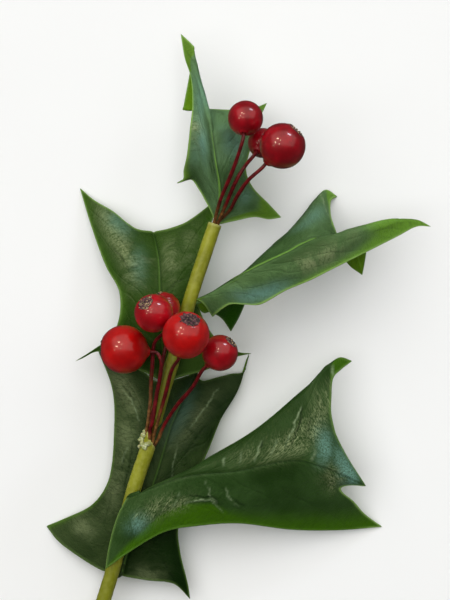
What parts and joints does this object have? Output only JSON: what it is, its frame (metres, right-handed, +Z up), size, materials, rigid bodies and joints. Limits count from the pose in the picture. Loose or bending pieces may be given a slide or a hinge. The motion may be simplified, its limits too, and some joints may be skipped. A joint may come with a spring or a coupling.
{
  "type": "holly sprig",
  "caption": "Artificial holly sprig lying on a table: a bent stem with glossy spined leaves and clusters of round berries on thin wire stalks.",
  "frame": {"origin": "middle of the footprint, on the table the sprig lies on", "axes": "+Y along the sprig from the butt of the stem to the top leaf, +Z up from the table, +X to the right seen from above"},
  "size_m": [0.098, 0.1936, 0.0375],
  "materials": {
    "leaf": "glossy moulded plastic, dark green above and yellow-green underneath",
    "berry": "high-gloss lacquered red",
    "crown": "rough dark brown with golden flecks",
    "stalk": "plastic-coated wire, dark red, brown at the foot",
    "stem": "satin olive-green plastic tube",
    "glue": "pale frayed plastic and hardened glue"
  },
  "bodies": {
    "root": {"berry_left": "berry", "crown_left": "crown", "stalk_left": "stalk", "berry_middle": "berry", "crown_middle": "crown", "stalk_middle": "stalk", "berry_ridged": "berry", "crown_ridged": "crown", "stalk_ridged": "stalk", "berry_front": "berry", "crown_front": "crown", "stalk_front": "stalk", "berry_right": "berry", "crown_right": "crown", "stalk_right": "stalk", "berry_top_left": "berry", "crown_top_left": "crown", "stalk_top_left": "stalk", "berry_top_back": "berry", "crown_top_back": "crown", "stalk_top_back": "stalk", "berry_top_right": "berry", "crown_top_right": "crown", "stalk_top_right": "stalk", "stem_lower": "stem", "stem_upper": "stem", "leaf_lower_right": "leaf", "leaf_lower_left": "leaf", "leaf_upper_left": "leaf", "leaf_upper_right": "leaf", "leaf_top": "leaf", "glue_collar": "glue"}
  },
  "joints": []
}
